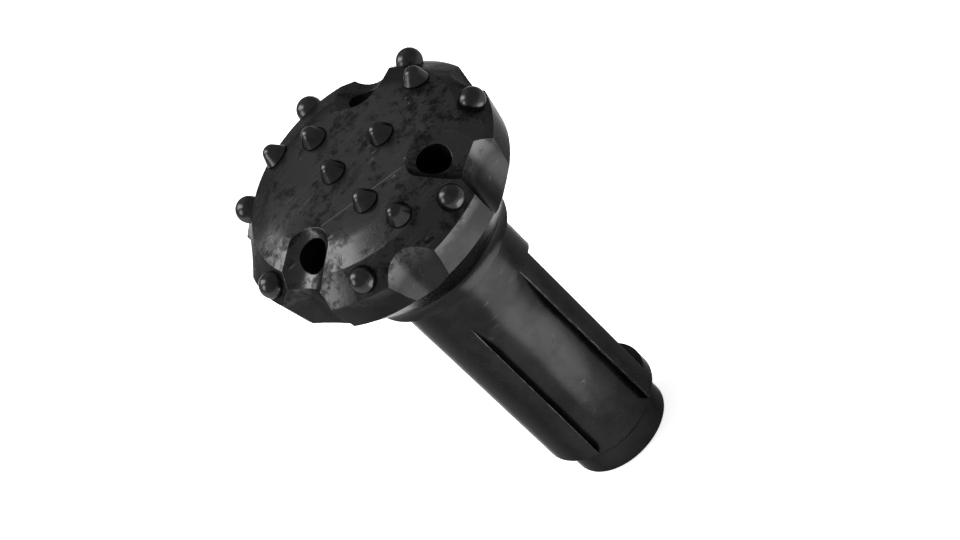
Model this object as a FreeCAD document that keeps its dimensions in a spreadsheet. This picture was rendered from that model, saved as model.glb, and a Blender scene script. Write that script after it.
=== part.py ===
"""Button drill bit with a keyed shank for a down-the-hole hammer, 110 mm over its gauge buttons.

One turned and milled steel body carries fourteen pressed carbide buttons: seven round ones on the
gauge bevel, three pointed ones on the face bevel and four pointed ones on the flat face.
The part stands on its tail end face. Its axis is Z, with the cutting face up, and millimetres are
used throughout. Azimuths are degrees about Z, counted from X towards Y.
"""
import FreeCAD, Part
import math
import os
import re

import Sketcher

V = FreeCAD.Vector
doc = FreeCAD.newDocument("button_drill_bit")

# ---------------------------------------------------------------- driving dimensions
SIZES = {
    # head, turned: flat face, face bevel, gauge bevel, tapered skirt and hollow neck
    "face_height": 168.8,
    "face_radius": 33.6,
    "face_bevel_radius": 45.0,
    "face_bevel_drop": 4.2,
    "gauge_edge_radius": 53.9,
    "gauge_edge_drop": 9.5,
    "skirt_depth": 14.5,
    "skirt_back_radius": 51.0,
    "neck_radius": 30.3,
    "neck_depth": 27.5,
    "neck_slope": 46.5,
    "neck_fillet": 12.0,
    # shank, turned: slightly tapered, with a bevelled end and a plain tail
    "shank_top_radius": 24.95,
    "shank_end_radius": 23.65,
    "shank_end_height": 14.0,
    "tail_radius": 19.5,
    "tail_height": 9.9,
    "tail_round": 1.25,
    # two drive channels, milled the length of the shank and open at the tail
    "channel_azimuth": 94.5,
    "channel_width": 27.0,
    "channel_top_height": 97.0,
    "channel_full_height": 78.0,
    "channel_top_radius": 21.9,
    "channel_end_radius": 20.9,
    "channel_end_height": 9.5,
    "channel_step": 3.2,
    # one retaining slot, closed at both ends
    "slot_azimuth": 180.0,
    "slot_width": 22.0,
    "slot_top_height": 92.2,
    "slot_top_radius": 22.1,
    "slot_slant": 23.0,
    "slot_end_height": 19.2,
    "slot_end_radius": 21.1,
    # air: one bore from the tail, three flushing holes that meet it
    "air_bore_radius": 8.5,
    "air_bore_mouth": 1.0,
    "air_bore_overrun": 0.506,
    "drill_point_depth": 5.0,
    "flush_hole_radius": 6.5,
    "flush_hole_tilt": 35.0,
    "flush_mouth_radius": 35.05,
    "flush_mouth_drop": 6.25,
    # ball-nosed pocket at each flushing hole, running out into a side slot
    "pocket_ball_radius": 13.0,
    "pocket_start_radius": 38.2,
    "pocket_rise": 12.75,
    "pocket_slope": 22.6,
    "pocket_length": 24.0,
    "side_slot_radius": 14.5,
    "side_slot_floor": 45.6,
    "side_slot_drop": 20.8,
    "side_slot_tilt": 2.0,
    # junk slots, parallel to the axis
    "junk_slot_radius": 14.5,
    "junk_floor_radius": 48.3,
    # gauge buttons: round, square to the gauge bevel
    "gauge_count": 7,
    "gauge_azimuth": 213.07,
    "gauge_ring_radius": 50.0,
    "gauge_ring_drop": 8.0,
    "gauge_button_radius": 5.0,
    "gauge_button_length": 12.0,
    "slot_lag": 6.5,
    # face buttons: pointed
    "face_button_radius": 5.0,
    "face_button_length": 11.0,
    "point_height": 5.95,
    "point_radius": 3.35,
    "point_start": 0.6,
    "bevel_ring_radius": 39.4,
    "face_button_5_azimuth": 192.7,
    "face_button_6_azimuth": 89.4,
    "face_button_7_azimuth": 293.2,
    "face_button_1_radius": 6.3,
    "face_button_1_azimuth": 333.4,
    "face_button_2_radius": 23.35,
    "face_button_2_azimuth": 77.5,
    "face_button_3_radius": 16.1,
    "face_button_3_azimuth": 172.9,
    "face_button_4_radius": 25.1,
    "face_button_4_azimuth": 274.0,
    # pressed seats
    "seat_gap": 0.01,
    "foot_bevel": 0.6,
}

sheet = doc.addObject("Spreadsheet::Sheet", "Sizes")
for row, (alias, value) in enumerate(SIZES.items(), start=1):
    sheet.set(f"A{row}", alias)
    sheet.set(f"B{row}", str(value))
    sheet.setAlias(f"B{row}", alias)
doc.recompute()


def named(formula):
    """The formula with its bare size names turned into references to the sheet."""
    return re.sub(r"\b(" + "|".join(SIZES) + r")\b", r"Sizes.\1", formula)


def value_of(formula):
    """The number that a formula of size names has now."""
    return float(sheet.evalExpression(named(formula)))


def place(thing, radius, height, azimuth, tilt="0"):
    """Sets a piece at a radius and height, leaning outwards by tilt, at an azimuth about Z."""
    spot = f"vector(({radius}) * cos({azimuth}); ({radius}) * sin({azimuth}); {height})"
    turn = f"rotation({azimuth}; {tilt}; 0)"
    thing.setExpression("Placement", named(f"placement({spot}; {turn})"))
    return thing


def cylinder(name, radius, length):
    """A cylinder up its own Z, sized by formulas."""
    rod = doc.addObject("Part::Cylinder", name)
    rod.setExpression("Radius", named(radius))
    rod.setExpression("Height", named(length))
    return rod


def fused(name, pieces):
    """One cutter or blank made of several pieces."""
    union = doc.addObject("Part::MultiFuse", name)
    union.Shapes = pieces
    return union


def cut(name, base, tool):
    """The base with the tool taken away."""
    result = doc.addObject("Part::Cut", name)
    result.Base = base
    result.Tool = tool
    return result


def outline_arc(start, end, radius, turns_left):
    """The shorter arc between two corners, with its centre on the left or right of the way."""
    along = end - start
    left = V(-along.y, along.x, 0).normalize()
    reach = math.sqrt(radius ** 2 - (along.Length / 2) ** 2)
    centre = (start + end) * 0.5 + left * (reach if turns_left else -reach)
    angles = [math.atan2(point.y - centre.y, point.x - centre.x) for point in (start, end)]
    if not turns_left:
        angles.reverse()
    if angles[1] < angles[0]:
        angles[1] += 2 * math.pi
    return Part.ArcOfCircle(Part.Circle(centre, V(0, 0, 1), radius), angles[0], angles[1])


def turned(name, corners, arcs=None):
    """A body turned about Z from a closed outline.

    Each corner is a pair of formulas, radius and height. arcs maps the number of the corner where
    a round stretch starts to its radius and whether its centre is on the left of the way.
    """
    arcs = arcs or {}
    body = doc.addObject("PartDesign::Body", name)
    sketch = body.newObject("Sketcher::SketchObject", name + "_outline")
    plane = [item for item in body.Origin.OriginFeatures if item.Role == "XZ_Plane"][0]
    sketch.AttachmentSupport = [(plane, "")]
    sketch.MapMode = "FlatFace"
    points = [V(value_of(radius), value_of(height), 0) for radius, height in corners]
    ends = []
    for index, start in enumerate(points):
        end = points[(index + 1) % len(points)]
        if index in arcs:
            radius, turns_left = arcs[index]
            sketch.addGeometry(outline_arc(start, end, value_of(radius), turns_left), False)
            ends.append((1, 2) if turns_left else (2, 1))
        else:
            sketch.addGeometry(Part.LineSegment(start, end), False)
            ends.append((1, 2))
    for index in range(len(points)):
        after = (index + 1) % len(points)
        sketch.addConstraint(Sketcher.Constraint("Coincident", index, ends[index][1], after, ends[after][0]))
    for index, corner in enumerate(corners):
        for kind, formula, number in zip(("DistanceX", "DistanceY"), corner, points[index]):
            rule = sketch.addConstraint(Sketcher.Constraint(kind, -1, 1, index, ends[index][0], number))
            sketch.setExpression(f"Constraints[{rule}]", named(formula))
    for index, (radius, turns_left) in arcs.items():
        rule = sketch.addConstraint(Sketcher.Constraint("Radius", index, value_of(radius)))
        sketch.setExpression(f"Constraints[{rule}]", named(radius))
    spin = body.newObject("PartDesign::Revolution", name + "_turned")
    spin.Profile = sketch
    spin.ReferenceAxis = (sketch, ["V_Axis"])
    spin.Angle = 360.0
    return body


# ---------------------------------------------------------------- heights that follow from the sizes
BEVEL_EDGE = "(face_height - face_bevel_drop)"
GAUGE_EDGE = f"({BEVEL_EDGE} - gauge_edge_drop)"
SKIRT_BACK = f"({GAUGE_EDGE} - skirt_depth)"
SHOULDER = f"({SKIRT_BACK} - neck_depth)"
FACE_BEVEL_TILT = "atan(face_bevel_drop / (face_bevel_radius - face_radius))"
# where the sloping back of the head runs into the neck's fillet, and where that fillet ends
FILLET_RADIUS = "(neck_radius + neck_fillet * (1 - sin(neck_slope)))"
FILLET_TOP = f"({SKIRT_BACK} - (skirt_back_radius - {FILLET_RADIUS}) * tan(neck_slope))"
FILLET_END = f"({FILLET_TOP} - neck_fillet * cos(neck_slope))"
GAUGE_BEVEL_TILT = "atan(gauge_edge_drop / (gauge_edge_radius - face_bevel_radius))"


# ---------------------------------------------------------------- turned blank of the steel body
def turned_blank():
    """Tail, tapered shank, shoulder, neck, sloping back, skirt and the two bevels of the head."""
    corners = [
        ("0", "0"),
        ("tail_radius - tail_round", "0"),
        ("tail_radius", "tail_round"),
        ("tail_radius", "tail_height"),
        ("shank_end_radius", "shank_end_height"),
        ("shank_top_radius", SHOULDER),
        ("neck_radius", SHOULDER),
        ("neck_radius", FILLET_END),
        (FILLET_RADIUS, FILLET_TOP),
        ("skirt_back_radius", SKIRT_BACK),
        ("gauge_edge_radius", GAUGE_EDGE),
        ("face_bevel_radius", BEVEL_EDGE),
        ("face_radius", "face_height"),
        ("0", "face_height"),
    ]
    return turned("turned_blank", corners, {1: ("tail_round", True), 7: ("neck_fillet", False)})


# ---------------------------------------------------------------- milling of the shank
def channel_cutter():
    """Both drive channels: a slab across the shank, less the tapered core that stays."""
    core = turned("channel_core", [
        ("0", "-channel_step"),
        ("tail_radius", "-channel_step"),
        ("tail_radius", "channel_end_height - channel_step"),
        ("channel_end_radius", "channel_end_height"),
        ("channel_top_radius", "channel_full_height"),
        ("shank_top_radius", "channel_top_height"),
        ("shank_top_radius", f"{SHOULDER}"),
        ("0", f"{SHOULDER}"),
    ])
    slab = doc.addObject("Part::Box", "channel_slab")
    slab.setExpression("Length", named("4 * shank_top_radius"))
    slab.setExpression("Width", named("channel_width"))
    slab.setExpression("Height", named("channel_top_height"))
    slab.setExpression("Placement", named(
        "placement(vector(-2 * shank_top_radius; -channel_width / 2; 0); rotation(0; 0; 0))"))
    cutter = cut("channel_cutter", slab, core)
    cutter.setExpression("Placement", named("placement(vector(0; 0; 0); rotation(channel_azimuth; 0; 0))"))
    return cutter


def slot_cutter():
    """The retaining slot: square at its lower end, where it leaves a lug, and slanted at its top."""
    core = turned("slot_core", [
        ("0", "slot_end_height"),
        ("slot_end_radius", "slot_end_height"),
        ("slot_top_radius", "slot_top_height"),
        ("0", "slot_top_height"),
    ])
    block = doc.addObject("Part::Wedge", "slot_block")
    slanted_down = "slot_top_height - slot_width * tan(slot_slant)"
    for side, formula in (
            ("Xmin", "slot_end_radius / 2"), ("X2min", "slot_end_radius / 2"),
            ("Xmax", "shank_top_radius"), ("X2max", "shank_top_radius"),
            ("Ymin", "-slot_width / 2"), ("Ymax", "slot_width / 2"),
            ("Zmin", "slot_end_height"), ("Z2min", "slot_end_height"),
            ("Zmax", "slot_top_height"), ("Z2max", slanted_down)):
        block.setExpression(side, named(formula))
    cutter = cut("slot_cutter", block, core)
    cutter.setExpression("Placement", named("placement(vector(0; 0; 0); rotation(slot_azimuth; 0; 0))"))
    return cutter


# ---------------------------------------------------------------- air bore and flushing
# the flushing holes start on the axis, and the bore runs just past that point
FLUSH_MOUTH = "(face_height - flush_mouth_drop)"
FLUSH_START = f"({FLUSH_MOUTH} - flush_mouth_radius / tan(flush_hole_tilt))"
AIR_BORE_DEPTH = f"({FLUSH_START} + air_bore_overrun)"


def air_bore():
    """The bore from the tail with its mouth bevel and drill point."""
    return turned("air_bore_tool", [
        ("0", "-air_bore_mouth"),
        ("air_bore_radius + 2 * air_bore_mouth", "-air_bore_mouth"),
        ("air_bore_radius", "air_bore_mouth"),
        ("air_bore_radius", AIR_BORE_DEPTH),
        ("0", f"{AIR_BORE_DEPTH} + drill_point_depth"),
    ])


def flush_azimuth(step):
    """Slots share the gauge buttons' pitch and lie a little behind the middle of each gap."""
    return f"(gauge_azimuth - slot_lag - {step + 0.5} * 360 / gauge_count)"


FLUSH_STEPS = (1, 3, 6)
JUNK_STEPS = (0, 2, 4, 5)


def flush_cutters(step):
    """Inclined hole, ball-nosed pocket and side slot of one flushing outlet."""
    azimuth = flush_azimuth(step)
    hole_length = f"{FLUSH_MOUTH} - {FLUSH_START} + 2 * pocket_rise"
    hole = cylinder(f"flush_hole_{step}", "flush_hole_radius", hole_length)
    place(hole, "0", FLUSH_START, azimuth, "flush_hole_tilt")
    start_height = f"{FLUSH_MOUTH} + pocket_rise"
    ball = doc.addObject("Part::Sphere", f"pocket_ball_{step}")
    ball.setExpression("Radius", named("pocket_ball_radius"))
    place(ball, "pocket_start_radius", start_height, azimuth)
    trough = cylinder(f"pocket_trough_{step}", "pocket_ball_radius", "pocket_length")
    place(trough, "pocket_start_radius", start_height, azimuth, "90 + pocket_slope")
    slot = cylinder(f"side_slot_{step}", "side_slot_radius", f"2 * (face_height - {SHOULDER})")
    below = f"(face_height - side_slot_drop - {SHOULDER})"
    axis_radius = f"side_slot_floor + side_slot_radius / cos(side_slot_tilt) - {below} * tan(side_slot_tilt)"
    place(slot, axis_radius, SHOULDER, azimuth, "side_slot_tilt")
    return [hole, ball, trough, slot]


def junk_cutter(step):
    """One junk slot, milled parallel to the axis through the gauge bevel and the skirt."""
    groove = cylinder(f"junk_slot_{step}", "junk_slot_radius", f"face_height - {SHOULDER}")
    return place(groove, "junk_floor_radius + junk_slot_radius", SHOULDER, flush_azimuth(step))


# ---------------------------------------------------------------- buttons
def gauge_azimuth(number):
    return f"(gauge_azimuth - {number} * 360 / gauge_count)"


def button_profile(radius, length, top):
    """Foot bevel and straight side of a button, up to where its top starts."""
    return [
        ("0", f"-({length})"),
        (f"{radius} - foot_bevel", f"-({length})"),
        (radius, f"foot_bevel - ({length})"),
    ] + top


def gauge_button(number):
    """A round-topped button. Its own origin is the middle of its dome."""
    top = [("gauge_button_radius", "0"), ("0", "gauge_button_radius")]
    outline = button_profile("gauge_button_radius", "gauge_button_length", top)
    button = turned(f"gauge_button_{number}", outline, {3: ("gauge_button_radius", True)})
    height = "face_height - gauge_ring_drop"
    place(button, "gauge_ring_radius", height, gauge_azimuth(number - 1), GAUGE_BEVEL_TILT)
    return button


def point_corners():
    """Cone and rounded tip of a pointed button, above the steel at height 0."""
    # the cone runs as a tangent from the shoulder of the button to the tip's arc
    rise = "(point_height - point_radius - point_start)"
    reach = f"sqrt(face_button_radius ^ 2 + {rise} ^ 2)"
    lean = f"(acos(point_radius / {reach}) - atan({rise} / face_button_radius))"
    return [
        ("face_button_radius", "point_start"),
        (f"point_radius * cos({lean})", f"point_height - point_radius + point_radius * sin({lean})"),
        ("0", "point_height"),
    ]


def pointed_button(number, radius, height, azimuth, tilt):
    """A pointed button. Its own origin is on the steel surface round it."""
    outline = button_profile("face_button_radius", "face_button_length", point_corners())
    button = turned(f"face_button_{number}", outline, {4: ("point_radius", True)})
    return place(button, radius, height, azimuth, tilt)


def seat(button, name, radius, length):
    """The drilled seat of a button, wider and deeper by the seat gap."""
    hole = cylinder(name, f"{radius} + seat_gap", f"{length} + 2 * {radius}")
    hole.setExpression("Placement", named(
        f"{button.Name}.Placement * placement(vector(0; 0; -({length}) - seat_gap); rotation(0; 0; 0))"))
    return hole


FLAT_BUTTONS = tuple("1234")
BEVEL_BUTTONS = tuple("567")

blank = turned_blank()
tools = [channel_cutter(), slot_cutter(), air_bore()]
for step in FLUSH_STEPS:
    tools += flush_cutters(step)
for step in JUNK_STEPS:
    tools.append(junk_cutter(step))

buttons = [gauge_button(number) for number in range(1, 8)]
for number in FLAT_BUTTONS:
    spot = (f"face_button_{number}_radius", "face_height", f"face_button_{number}_azimuth")
    buttons.append(pointed_button(number, *spot, "0"))
bevel_height = f"face_height - (bevel_ring_radius - face_radius) * tan({FACE_BEVEL_TILT})"
for number in BEVEL_BUTTONS:
    spot = ("bevel_ring_radius", bevel_height, f"face_button_{number}_azimuth")
    buttons.append(pointed_button(number, *spot, FACE_BEVEL_TILT))

doc.recompute()
for button in buttons:
    kind = "gauge_button" if button.Name.startswith("gauge") else "face_button"
    tools.append(seat(button, f"{button.Name}_seat", f"{kind}_radius", f"{kind}_length"))

bit_body = cut("bit_body", blank, fused("all_cutters", tools))
doc.recompute()

# ---------------------------------------------------------------- write one file for each piece
pieces = [bit_body] + buttons
for piece in pieces:
    piece.Label = piece.Name
for item in doc.Objects:
    if "Invalid" in item.State or "Error" in item.State:
        raise RuntimeError(f"{item.Name} failed: {item.State}")
for piece in pieces:
    if piece.Shape.isNull() or not piece.Shape.isValid() or len(piece.Shape.Solids) != 1:
        raise RuntimeError(f"{piece.Name} is not one valid solid")
os.makedirs("parts", exist_ok=True)
for piece in pieces:
    piece.Shape.exportStep(os.path.join("parts", piece.Label + ".step"))
    box = piece.Shape.BoundBox
    print(piece.Label, round(piece.Shape.Volume, 1), [round(number, 2) for number in
          (box.XMin, box.YMin, box.ZMin, box.XMax, box.YMax, box.ZMax)])
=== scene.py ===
"""Button drill bit: one forged and milled steel body with fourteen pressed carbide buttons."""
import math

import bmesh
import bpy
from mathutils import Matrix, Vector


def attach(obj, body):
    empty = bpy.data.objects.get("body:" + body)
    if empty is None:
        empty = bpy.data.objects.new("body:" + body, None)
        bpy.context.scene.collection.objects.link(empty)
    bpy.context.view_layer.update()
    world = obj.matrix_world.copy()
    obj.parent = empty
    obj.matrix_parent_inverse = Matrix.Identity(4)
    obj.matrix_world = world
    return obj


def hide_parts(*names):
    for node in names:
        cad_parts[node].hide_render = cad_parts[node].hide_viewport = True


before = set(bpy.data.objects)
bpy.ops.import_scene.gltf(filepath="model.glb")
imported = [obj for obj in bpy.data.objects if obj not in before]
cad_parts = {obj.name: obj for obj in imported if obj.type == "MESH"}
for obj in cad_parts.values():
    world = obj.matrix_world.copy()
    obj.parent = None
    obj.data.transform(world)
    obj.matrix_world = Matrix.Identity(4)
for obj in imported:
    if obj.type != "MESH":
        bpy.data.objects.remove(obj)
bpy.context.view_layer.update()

MM = 0.001
BUTTONS_OF_A_KIND = 7
MERGE_GAP = 0.002 * MM      # corners closer than this are one corner
SMOOTH_LIMIT = 24.0         # degrees between faces, above which an edge stays sharp
HEAD_FOOT = 150.0 * MM      # heights on the body between which the head's worn finish comes in
HEAD_WORN = 158.0 * MM
FACE_RIM = 167.0 * MM       # just under the flat face, where drawn scratches start
FACE = 168.0 * MM
scene = bpy.context.scene


# ---------------------------------------------------------------- colours and nodes
def colour(text):
    """An sRGB hex colour as linear RGBA."""
    parts = [int(text[i:i + 2], 16) / 255 for i in (1, 3, 5)]
    return tuple(p / 12.92 if p <= 0.04045 else ((p + 0.055) / 1.055) ** 2.4 for p in parts) + (1.0,)


def add(tree, kind, inputs=None, output=0, **settings):
    """Adds one node, sets its settings and inputs, and gives one of its outputs.

    A value that is itself an output is linked, and any other is set on the input.
    """
    node = tree.nodes.new(kind)
    for name, value in settings.items():
        setattr(node, name, value)
    for name, value in (inputs or {}).items():
        if isinstance(value, bpy.types.NodeSocket):
            tree.links.new(value, node.inputs[name])
        else:
            node.inputs[name].default_value = value
    return node.outputs[output] if node.outputs else None


def new_material(name):
    """A material with an empty node tree."""
    material = bpy.data.materials.new(name)
    material.use_nodes = True
    material.node_tree.nodes.clear()
    return material


# ---------------------------------------------------------------- marks left by handling
def handling_marks(tree, place, turn, spacing, length, area, threshold):
    """Fine straight marks that lie one way, in patches: stretched noise cut to narrow lines.

    spacing, length and area are in millimetres, and turn is in radians.
    """
    line_share = 0.006
    laid = add(tree, "ShaderNodeMapping", {
        "Vector": place, "Rotation": turn,
        "Scale": (1 / (length * MM), 1 / (spacing * MM), 1 / (spacing * MM))})
    waves = add(tree, "ShaderNodeTexNoise", {"Vector": laid, "Scale": 1.0, "Detail": 0.0})
    offset = add(tree, "ShaderNodeMath", {0: waves, 1: 0.5}, operation="SUBTRACT")
    distance = add(tree, "ShaderNodeMath", {0: offset}, operation="ABSOLUTE")
    lines = add(tree, "ShaderNodeMapRange", {
        "Value": distance, "From Min": 0.0, "From Max": line_share, "To Min": 1.0, "To Max": 0.0})
    regions = add(tree, "ShaderNodeTexNoise", {
        "Vector": place, "Scale": 1 / (area * MM), "Detail": 1.0, "Roughness": 0.6})
    handled = add(tree, "ShaderNodeMapRange", {
        "Value": regions, "From Min": threshold[0], "From Max": threshold[1]})
    return add(tree, "ShaderNodeMath", {0: lines, 1: handled}, operation="MULTIPLY")


def drawn_scratch(tree, place, start, end, width):
    """One straight scratch across the body, from start to end in millimetres seen along its axis."""
    first = Vector((*start, 0.0)) * MM
    run = Vector((*end, 0.0)) * MM - first
    onwards = run.normalized()
    sideways = Vector((-run.y, run.x, 0.0)).normalized()
    across = add(tree, "ShaderNodeVectorMath", {0: place, 1: sideways}, "Value", operation="DOT_PRODUCT")
    along = add(tree, "ShaderNodeVectorMath", {0: place, 1: onwards}, "Value", operation="DOT_PRODUCT")
    off_line = add(tree, "ShaderNodeMath", {0: across, 1: first.dot(sideways)}, operation="SUBTRACT")
    off_line = add(tree, "ShaderNodeMath", {0: off_line}, operation="ABSOLUTE")
    line = add(tree, "ShaderNodeMapRange", {
        "Value": off_line, "From Min": 0.4 * width * MM, "From Max": width * MM,
        "To Min": 1.0, "To Max": 0.0})
    half = run.length / 2
    off_middle = add(tree, "ShaderNodeMath", {0: along, 1: first.dot(onwards) + half}, operation="SUBTRACT")
    off_middle = add(tree, "ShaderNodeMath", {0: off_middle}, operation="ABSOLUTE")
    reach = add(tree, "ShaderNodeMapRange", {
        "Value": off_middle, "From Min": half - MM, "From Max": half, "To Min": 1.0, "To Max": 0.0})
    return add(tree, "ShaderNodeMath", {0: line, 1: reach}, operation="MULTIPLY")


# ---------------------------------------------------------------- materials
def blackened_steel():
    """Alloy steel, forged, turned and milled, then quenched and oiled.

    Heat treatment leaves a near-black skin, which drilling dust and wear turn to grey with a dark
    crust on the head. Handling leaves scratches, small pits and lightly rubbed edges.
    """
    material = new_material("Blackened alloy steel")
    tree = material.node_tree
    place = add(tree, "ShaderNodeTexCoord", output="Object")
    height_up = add(tree, "ShaderNodeSeparateXYZ", {"Vector": place}, "Z")
    on_head = add(tree, "ShaderNodeMapRange", {
        "Value": height_up, "From Min": HEAD_FOOT, "From Max": HEAD_WORN})

    # blotches of the heat-treated skin are about 16 mm across, and crust on the head about 5 mm
    patches = add(tree, "ShaderNodeTexNoise", {
        "Vector": place, "Scale": 1 / (16.0 * MM), "Detail": 8.0, "Roughness": 0.62})
    grime = add(tree, "ShaderNodeTexNoise", {
        "Vector": place, "Scale": 1 / (5.0 * MM), "Detail": 9.0, "Roughness": 0.72})
    grain = add(tree, "ShaderNodeTexNoise", {
        "Vector": place, "Scale": 1 / (1.2 * MM), "Detail": 6.0, "Roughness": 0.8})
    speckle = add(tree, "ShaderNodeTexNoise", {
        "Vector": place, "Scale": 1 / (0.8 * MM), "Detail": 3.0, "Roughness": 0.6})

    skin_share = add(tree, "ShaderNodeMapRange", {"Value": patches, "From Min": 0.4, "From Max": 0.6})
    skin = add(tree, "ShaderNodeMix", {
        "Factor": skin_share, 6: colour("#191919"), 7: colour("#212121")}, 2, data_type="RGBA")
    crust_edges = add(tree, "ShaderNodeMapRange", {"Value": grime, "From Min": 0.47, "From Max": 0.56})
    crust_areas = add(tree, "ShaderNodeMapRange", {"Value": patches, "From Min": 0.42, "From Max": 0.50})
    crust = add(tree, "ShaderNodeMath", {0: crust_edges, 1: crust_areas}, operation="MULTIPLY")
    crust_grain = add(tree, "ShaderNodeMapRange", {
        "Value": grain, "From Min": 0.4, "From Max": 0.52, "To Min": 0.35})
    fine_crust = add(tree, "ShaderNodeMath", {0: crust, 1: crust_grain}, operation="MULTIPLY")
    worn = add(tree, "ShaderNodeMix", {
        "Factor": fine_crust, 6: colour("#393939"), 7: colour("#181818")}, 2, data_type="RGBA")
    worn_share = add(tree, "ShaderNodeMath", {0: on_head, 1: 0.9}, operation="MULTIPLY")
    base = add(tree, "ShaderNodeMix", {"Factor": worn_share, 6: skin, 7: worn}, 2, data_type="RGBA")
    pit_colour = add(tree, "ShaderNodeMapRange", {
        "Value": speckle, "From Min": 0.62, "From Max": 0.72, "To Max": 0.35})
    base = add(tree, "ShaderNodeMix", {
        "Factor": pit_colour, 6: base, 7: colour("#161616")}, 2, data_type="RGBA")

    # scratches lie two ways, 3 mm apart and up to 60 mm long, and are faint on the shank
    one_way = handling_marks(tree, place, (0.3, 0.2, 0.9), 3.0, 60.0, 9.0, (0.56, 0.62))
    other_way = handling_marks(tree, place, (0.9, 0.5, 2.2), 3.4, 50.0, 7.0, (0.57, 0.64))
    marks = add(tree, "ShaderNodeMath", {0: one_way, 1: other_way}, operation="MAXIMUM")
    mark_share = add(tree, "ShaderNodeMapRange", {
        "Value": height_up, "From Min": HEAD_FOOT, "From Max": FACE, "To Min": 0.12})
    marks = add(tree, "ShaderNodeMath", {0: marks, 1: mark_share}, operation="MULTIPLY")
    long_mark = drawn_scratch(tree, place, (-13.0, 24.0), (23.0, 13.7), 0.22)
    on_face = add(tree, "ShaderNodeMapRange", {
        "Value": height_up, "From Min": FACE_RIM, "From Max": FACE, "To Max": 0.7})
    long_mark = add(tree, "ShaderNodeMath", {0: long_mark, 1: on_face}, operation="MULTIPLY")
    marks = add(tree, "ShaderNodeMath", {0: marks, 1: long_mark}, operation="MAXIMUM")
    bare_share = add(tree, "ShaderNodeMath", {0: marks, 1: 0.75}, operation="MULTIPLY")
    base = add(tree, "ShaderNodeMix", {
        "Factor": bare_share, 6: base, 7: colour("#7e7e7e")}, 2, data_type="RGBA")

    # edges are rubbed where a rounded corner would turn away from the flat
    flat = add(tree, "ShaderNodeNewGeometry", output="Normal")
    corner = add(tree, "ShaderNodeBevel", {"Radius": 0.6 * MM}, samples=6)
    turned_away = add(tree, "ShaderNodeVectorMath", {0: corner, 1: flat}, "Value", operation="DOT_PRODUCT")
    edge = add(tree, "ShaderNodeMapRange", {"Value": turned_away, "From Min": 0.995, "From Max": 0.9})
    rub_areas = add(tree, "ShaderNodeMapRange", {"Value": grime, "From Min": 0.45, "From Max": 0.6})
    rubbed = add(tree, "ShaderNodeMath", {0: edge, 1: rub_areas}, operation="MULTIPLY")
    rub_share = add(tree, "ShaderNodeMath", {0: rubbed, 1: 0.25}, operation="MULTIPLY")
    base = add(tree, "ShaderNodeMix", {
        "Factor": rub_share, 6: base, 7: colour("#6d6d6d")}, 2, data_type="RGBA")

    # crust stands up, and scratches and pits are cut in
    head_crust = add(tree, "ShaderNodeMath", {0: crust, 1: on_head}, operation="MULTIPLY")
    mark_depth = add(tree, "ShaderNodeMath", {0: marks, 1: 0.4}, operation="MULTIPLY")
    relief = add(tree, "ShaderNodeMath", {0: head_crust, 1: mark_depth}, operation="SUBTRACT")
    pit_depth = add(tree, "ShaderNodeMapRange", {
        "Value": speckle, "From Min": 0.62, "From Max": 0.72, "To Max": 0.5})
    relief = add(tree, "ShaderNodeMath", {0: relief, 1: pit_depth}, operation="SUBTRACT")
    grime_height = add(tree, "ShaderNodeMath", {0: grime, 1: 0.5}, operation="MULTIPLY")
    relief = add(tree, "ShaderNodeMath", {0: relief, 1: grime_height}, operation="ADD")
    rounded = add(tree, "ShaderNodeBevel", {"Radius": 0.4 * MM}, samples=6)
    bump = add(tree, "ShaderNodeBump", {
        "Height": relief, "Strength": 0.35, "Distance": 0.05 * MM, "Normal": rounded})

    gloss = add(tree, "ShaderNodeMapRange", {
        "Value": patches, "From Min": 0.35, "From Max": 0.65, "To Min": 0.23, "To Max": 0.31})
    crust_dullness = add(tree, "ShaderNodeMath", {0: head_crust, 1: 0.12}, operation="MULTIPLY")
    gloss = add(tree, "ShaderNodeMath", {0: gloss, 1: crust_dullness}, operation="ADD")
    surface = add(tree, "ShaderNodeBsdfPrincipled", {
        "Base Color": base, "Metallic": 0.86, "Roughness": gloss, "Normal": bump,
        "Specular Tint": colour("#8a8a8a")})
    add(tree, "ShaderNodeOutputMaterial", {"Surface": surface})
    return material


def ground_carbide():
    """Tungsten carbide, sintered and ground: dense, dark grey and a little glossier than the steel."""
    material = new_material("Ground tungsten carbide")
    tree = material.node_tree
    place = add(tree, "ShaderNodeTexCoord", output="Object")
    # soft patches 4 mm across, and sinter grain drawn at 0.6 mm, which is as fine as shows
    patches = add(tree, "ShaderNodeTexNoise", {
        "Vector": place, "Scale": 1 / (4.0 * MM), "Detail": 4.0, "Roughness": 0.6})
    grain = add(tree, "ShaderNodeTexNoise", {
        "Vector": place, "Scale": 1 / (0.6 * MM), "Detail": 2.0, "Roughness": 0.6})
    patch_share = add(tree, "ShaderNodeMapRange", {"Value": patches, "From Min": 0.35, "From Max": 0.65})
    base = add(tree, "ShaderNodeMix", {
        "Factor": patch_share, 6: colour("#2a2a2a"), 7: colour("#343434")}, 2, data_type="RGBA")
    grain_share = add(tree, "ShaderNodeMapRange", {
        "Value": grain, "From Min": 0.6, "From Max": 0.75, "To Max": 0.3})
    base = add(tree, "ShaderNodeMix", {
        "Factor": grain_share, 6: base, 7: colour("#434343")}, 2, data_type="RGBA")
    bump = add(tree, "ShaderNodeBump", {"Height": grain, "Strength": 0.2, "Distance": 0.02 * MM})
    gloss = add(tree, "ShaderNodeMapRange", {
        "Value": patches, "From Min": 0.3, "From Max": 0.7, "To Min": 0.2, "To Max": 0.28})
    surface = add(tree, "ShaderNodeBsdfPrincipled", {
        "Base Color": base, "Metallic": 0.86, "Roughness": gloss, "Normal": bump,
        "Specular Tint": colour("#b4b4b4")})
    add(tree, "ShaderNodeOutputMaterial", {"Surface": surface})
    return material


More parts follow.
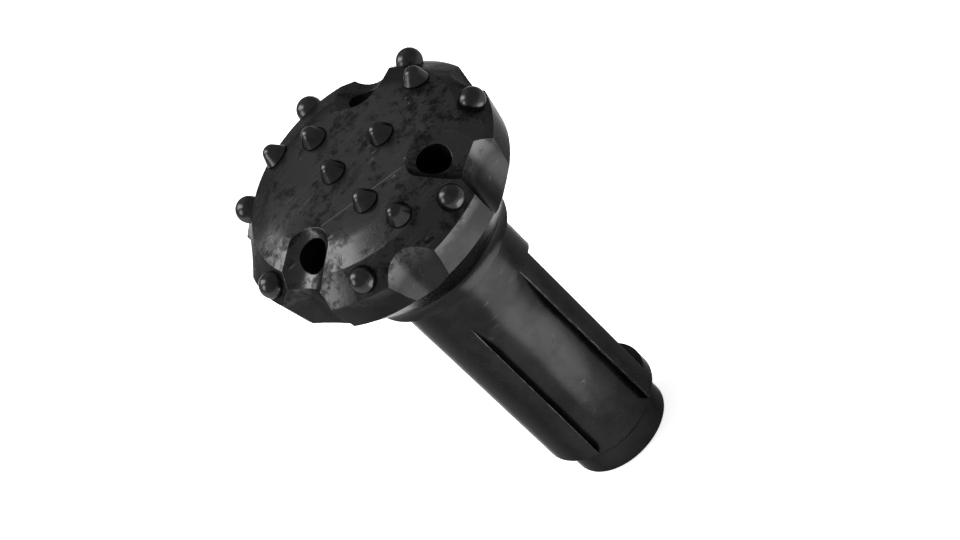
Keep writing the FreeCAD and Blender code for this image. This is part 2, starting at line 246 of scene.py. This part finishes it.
def white_board():
    """Matt white board. Seen directly and in reflections it is lifted to white, and keeps the shadow."""
    material = new_material("Matt white board")
    tree = material.node_tree
    in_view = add(tree, "ShaderNodeLightPath", output="Is Camera Ray")
    for way in ("Is Glossy Ray", "Is Transmission Ray"):
        reflected = add(tree, "ShaderNodeLightPath", output=way)
        in_view = add(tree, "ShaderNodeMath", {0: in_view, 1: reflected}, operation="MAXIMUM")
    lift = add(tree, "ShaderNodeMath", {0: in_view, 1: 0.7}, operation="MULTIPLY")
    board = add(tree, "ShaderNodeBsdfDiffuse", {"Color": colour("#f4f4f4")})
    glow = add(tree, "ShaderNodeEmission", {"Color": colour("#ffffff"), "Strength": lift})
    surface = add(tree, "ShaderNodeAddShader", {0: board, 1: glow})
    add(tree, "ShaderNodeOutputMaterial", {"Surface": surface})
    return material


# ---------------------------------------------------------------- the bit
def dressed(node_name, material):
    """A merged, smoothly shaded copy of a construction piece, shown in its place."""
    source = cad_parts[node_name]
    mesh = source.data.copy()
    mesh.name = f"{node_name}_surface"
    shape = bmesh.new()
    shape.from_mesh(mesh)
    bmesh.ops.remove_doubles(shape, verts=shape.verts, dist=MERGE_GAP)
    for edge in shape.edges:
        joined = len(edge.link_faces) == 2
        edge.smooth = joined and edge.calc_face_angle(0.0) < math.radians(SMOOTH_LIMIT)
    for face in shape.faces:
        face.smooth = True
    shape.to_mesh(mesh)
    shape.free()
    mesh.materials.clear()
    mesh.materials.append(material)
    piece = bpy.data.objects.new(f"{node_name}_surface", mesh)
    scene.collection.objects.link(piece)
    piece.matrix_world = source.matrix_world
    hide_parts(node_name)
    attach(piece, "root")


carbide = ground_carbide()
dressed("bit_body", blackened_steel())
for number in range(1, BUTTONS_OF_A_KIND + 1):
    dressed(f"gauge_button_{number}", carbide)
    dressed(f"face_button_{number}", carbide)


# ---------------------------------------------------------------- studio
def floor_board(material, half, level):
    """A wide square board just under the tail."""
    mesh = bpy.data.meshes.new("floor")
    corners = [(-half, -half, level), (half, -half, level), (half, half, level), (-half, half, level)]
    mesh.from_pydata(corners, [], [(0, 1, 2, 3)])
    mesh.materials.append(material)
    board = bpy.data.objects.new("floor", mesh)
    scene.collection.objects.link(board)


def soft_light(name, middle, aim, width, height, level):
    """A rectangular softbox at middle, turned to face aim. Level 1 is as bright as white paper."""
    lamp = bpy.data.lights.new(name, "AREA")
    lamp.shape, lamp.size, lamp.size_y = "RECTANGLE", width, height
    lamp.energy = level * math.pi * width * height
    light = bpy.data.objects.new(name, lamp)
    light.location = middle
    light.rotation_mode = "QUATERNION"
    light.rotation_quaternion = (Vector(middle) - Vector(aim)).to_track_quat("Z", "Y")
    light.visible_camera = False
    scene.collection.objects.link(light)


def camera_on(centre, right, up, wide):
    """A camera without perspective, square on to the plane of right and up."""
    lens = bpy.data.cameras.new("camera")
    lens.type, lens.ortho_scale = "ORTHO", wide
    lens.clip_start, lens.clip_end = 0.01, 10.0
    right = Vector(right).normalized()
    back = right.cross(Vector(up)).normalized()
    turn = Matrix((right, back.cross(right), back)).transposed().to_4x4()
    eye = bpy.data.objects.new("camera", lens)
    eye.matrix_world = Matrix.Translation(Vector(centre) + back) @ turn
    scene.collection.objects.link(eye)
    scene.camera = eye


def studio_air(strength):
    """An even, plain light from all round."""
    world = bpy.data.worlds.new("studio")
    world.use_nodes = True
    world.node_tree.nodes.clear()
    sky = add(world.node_tree, "ShaderNodeBackground", {"Color": colour("#ffffff"), "Strength": strength})
    add(world.node_tree, "ShaderNodeOutputWorld", {"Surface": sky})
    scene.world = world


HEAD = (0.0, 0.0, 0.15)
ABOVE_LOW_BOX = (-0.065, 0.18, 1.0)
floor_board(white_board(), 3.0, -0.05 * MM)
soft_light("back_softbox", (0.0, -0.8, 0.75), HEAD, 0.9, 0.6, 0.4)
soft_light("left_softbox", (0.42, -0.52, 0.60), HEAD, 0.34, 0.34, 10.0)
soft_light("left_high_softbox", (0.34, -0.29, 0.80), HEAD, 0.3, 0.3, 10.0)
soft_light("left_low_softbox", (0.8, -0.1, 0.56), HEAD, 0.4, 0.45, 7.0)
soft_light("low_front_softbox", (-0.065, 0.18, 0.004), ABOVE_LOW_BOX, 0.17, 0.24, 6.0)
studio_air(0.5)
camera_on(
    centre=(-0.00567, 0.03204, 0.11793), right=(-0.6938, 0.4312, -0.5768),
    up=(-0.7202, -0.4154, 0.5557), wide=0.34249)
scene.view_settings.view_transform = "Standard"
